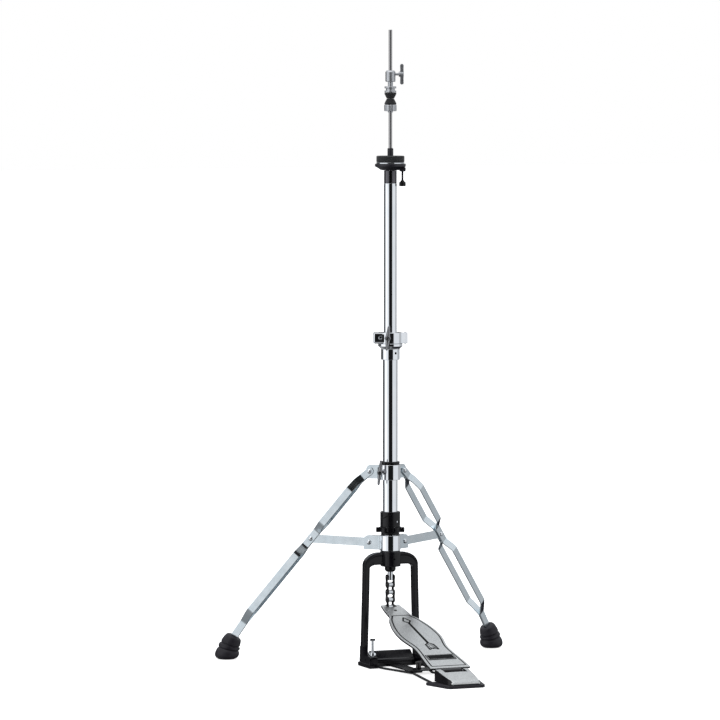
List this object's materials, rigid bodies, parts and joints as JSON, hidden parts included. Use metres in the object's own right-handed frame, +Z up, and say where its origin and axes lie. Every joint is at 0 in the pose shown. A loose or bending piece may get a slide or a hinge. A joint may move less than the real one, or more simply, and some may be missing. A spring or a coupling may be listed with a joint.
{
  "type": "hi-hat stand",
  "caption": "Hi-hat stand with a chain-driven foot pedal, a folding leg base, a telescoping tube, a tilting cymbal seat and a clutch on the pull rod.",
  "frame": {"origin": "on the floor under the tube's axis, on the underside of the cross bar", "axes": "+Z up along the tube, -Y towards the pedal's heel and the player, +X to the player's right as seen from the heel"},
  "size_m": [0.5233, 0.5191, 1.0775],
  "materials": {
    "chrome": "mirror polish",
    "bright_steel": "bright zinc plate",
    "cast_alloy": "fine metallic paint on a casting",
    "black_casting": "satin black powder coat",
    "black_plastic": "satin black moulding",
    "rubber": "matte black rubber",
    "felt": "black wool felt",
    "dark_steel": "oiled steel"
  },
  "bodies": {
    "base": {"base_tube": "chrome", "u_frame": "black_casting", "cross_bar": "black_casting", "radius_rod_left": "black_casting", "radius_rod_right": "black_casting", "rod_saddle": "black_casting", "heel": "cast_alloy", "heel_plate": "rubber", "hinge_pin": "bright_steel", "spring_seat": "bright_steel", "return_spring": "bright_steel", "tension_housing": "black_plastic", "height_receiver": "chrome", "height_clamp_band": "chrome", "height_bushing": "black_plastic"},
    "pedal": {"footboard": "cast_alloy", "toe_bracket": "dark_steel"},
    "pull_rod": {"lower_pull_rod": "bright_steel", "upper_pull_rod": "chrome", "spring_collar": "black_plastic"},
    "chain": {"chain_link_1": "dark_steel", "chain_link_2": "dark_steel", "chain_link_3": "dark_steel", "chain_link_4": "dark_steel"},
    "dial": {"tension_dial": "black_plastic"},
    "tripod_base": {"leg_collar_lower": "chrome", "strut_rivet_left": "bright_steel", "strut_rivet_right": "bright_steel"},
    "tripod_slider": {"leg_collar_upper": "chrome", "collar_bushing": "black_plastic", "leg_rivet_left": "bright_steel", "leg_rivet_right": "bright_steel"},
    "collar_wing": {"collar_wing_bolt": "bright_steel"},
    "leg_left": {"leg_left_near": "bright_steel", "leg_left_far": "bright_steel", "foot_left": "rubber"},
    "leg_right": {"leg_right_near": "bright_steel", "leg_right_far": "bright_steel", "foot_right": "rubber"},
    "brace_left": {"strut_left": "bright_steel"},
    "brace_right": {"strut_right": "bright_steel"},
    "height_wing": {"height_wing_nut": "bright_steel"},
    "upper_stand": {"upper_tube": "chrome", "tilter_neck": "black_plastic"},
    "seat": {"seat_cup": "black_plastic", "seat_washer": "bright_steel", "seat_felt": "felt", "seat_sleeve": "black_plastic"},
    "seat_screw": {"tilt_screw": "black_plastic"},
    "clutch": {"clutch_body": "chrome", "clutch_upper_nuts": "chrome", "clutch_felt_upper": "felt", "clutch_felt_lower": "felt"},
    "clutch_wing": {"clutch_wing_screw": "bright_steel"},
    "clutch_nut": {"clutch_lower_nut": "chrome"},
    "rod_wing": {"rod_wing_bolt": "bright_steel"},
    "left_spur": {"spur_left": "bright_steel"},
    "right_spur": {"spur_right": "bright_steel"},
    "left_spur_nut": {"spur_nut_left": "bright_steel"},
    "right_spur_nut": {"spur_nut_right": "bright_steel"}
  },
  "joints": [
    {"name": "pedal_press", "type": "hinge", "parent": "base", "child": "pedal", "pos_m": [0, -0.262, 0.0205], "axis": [-1, 0, 0], "range_deg": [0, 10.5]},
    {"name": "rod_slide", "type": "slide", "parent": "base", "child": "pull_rod", "axis": [0, 0, -1], "range_m": [0, 0.0502], "stiffness_N_per_m": 900, "springref_m": -0.03, "deforming": ["return_spring"]},
    {"name": "chain_swing", "type": "hinge", "parent": "pull_rod", "child": "chain", "pos_m": [0, 0, 0.1494], "axis": [1, 0, 0], "range_deg": [0, 11.8]},
    {"name": "tension_dial_turn", "type": "hinge", "parent": "base", "child": "dial", "pos_m": [0, 0, 0.23], "axis": [0, 0, 1], "range_deg": [-150, 150]},
    {"name": "tripod_swivel", "type": "hinge", "parent": "base", "child": "tripod_base", "pos_m": [0, 0, 0.1953], "axis": [0, 0, 1], "range_deg": [-45, 45]},
    {"name": "collar_slide", "type": "slide", "parent": "tripod_base", "child": "tripod_slider", "axis": [0, 0, 1], "range_m": [0, 0.13]},
    {"name": "collar_wing_turn", "type": "hinge", "parent": "tripod_slider", "child": "collar_wing", "pos_m": [-0.02473, -0.01292, 0.3295], "axis": [-0.3827, -0.9239, 0], "continuous": true},
    {"name": "leg_fold_left", "type": "hinge", "parent": "tripod_slider", "child": "leg_left", "pos_m": [-0.02831, 0.02141, 0.3295], "axis": [-0.6032, -0.7976, 0], "range_deg": [0, 29.6]},
    {"name": "strut_fold_left", "type": "hinge", "parent": "tripod_base", "child": "brace_left", "pos_m": [-0.02911, 0.02202, 0.2085], "axis": [0.6032, 0.7976, 0], "range_deg": [0, 70.5]},
    {"name": "leg_fold_right", "type": "hinge", "parent": "tripod_slider", "child": "leg_right", "pos_m": [0.03093, 0.01743, 0.3295], "axis": [-0.4909, 0.8712, 0], "range_deg": [0, 29.6]},
    {"name": "strut_fold_right", "type": "hinge", "parent": "tripod_base", "child": "brace_right", "pos_m": [0.0318, 0.01792, 0.2085], "axis": [0.4909, -0.8712, 0], "range_deg": [0, 70.5]},
    {"name": "height_wing_turn", "type": "hinge", "parent": "base", "child": "height_wing", "pos_m": [-0.01267, -0.01857, 0.5575], "axis": [-0.3827, -0.9239, 0], "continuous": true},
    {"name": "height_slide", "type": "slide", "parent": "base", "child": "upper_stand", "axis": [0, 0, -1], "range_m": [-0.045, 0.12]},
    {"name": "cup_tilt", "type": "hinge", "parent": "upper_stand", "child": "seat", "pos_m": [0, 0, 0.843], "axis": [-0.3827, -0.9239, 0], "range_deg": [-2, 2]},
    {"name": "tilt_screw_turn", "type": "hinge", "parent": "seat", "child": "seat_screw", "pos_m": [0.01885, -0.00781, 0.82], "axis": [0, 0, 1], "continuous": true},
    {"name": "clutch_slide", "type": "slide", "parent": "pull_rod", "child": "clutch", "axis": [0, 0, 1], "range_m": [-0.01, 0.06]},
    {"name": "clutch_wing_turn", "type": "hinge", "parent": "clutch", "child": "clutch_wing", "pos_m": [0.01783, -0.00739, 1.0025], "axis": [0.9239, -0.3827, 0], "continuous": true},
    {"name": "clutch_nut_turn", "type": "hinge", "parent": "clutch", "child": "clutch_nut", "pos_m": [0, 0, 0.9455], "axis": [0, 0, 1], "continuous": true},
    {"name": "rod_wing_turn", "type": "hinge", "parent": "base", "child": "rod_wing", "pos_m": [0.004, -0.113, 0.01], "axis": [0, 0, 1], "continuous": true},
    {"name": "spur_slide_left", "type": "slide", "parent": "base", "child": "left_spur", "axis": [0, 0, 1], "range_m": [-0.006, 0.01]},
    {"name": "spur_nut_turn_left", "type": "hinge", "parent": "base", "child": "left_spur_nut", "pos_m": [-0.045, -0.03, 0.0236], "axis": [0, 0, 1], "continuous": true},
    {"name": "spur_slide_right", "type": "slide", "parent": "base", "child": "right_spur", "axis": [0, 0, 1], "range_m": [-0.006, 0.01]},
    {"name": "spur_nut_turn_right", "type": "hinge", "parent": "base", "child": "right_spur_nut", "pos_m": [0.045, -0.03, 0.0236], "axis": [0, 0, 1], "continuous": true}
  ],
  "couplings": [
    {"joint": "rod_slide", "follows": "pedal_press", "m_per_rad": 0.2729},
    {"joint": "chain_swing", "follows": "pedal_press", "ratio": 1.12},
    {"joint": "leg_fold_left", "follows": "collar_slide", "rad_per_m": 3.9677},
    {"joint": "strut_fold_left", "follows": "collar_slide", "rad_per_m": 9.4522},
    {"joint": "leg_fold_right", "follows": "collar_slide", "rad_per_m": 3.9677},
    {"joint": "strut_fold_right", "follows": "collar_slide", "rad_per_m": 9.4522}
  ]
}
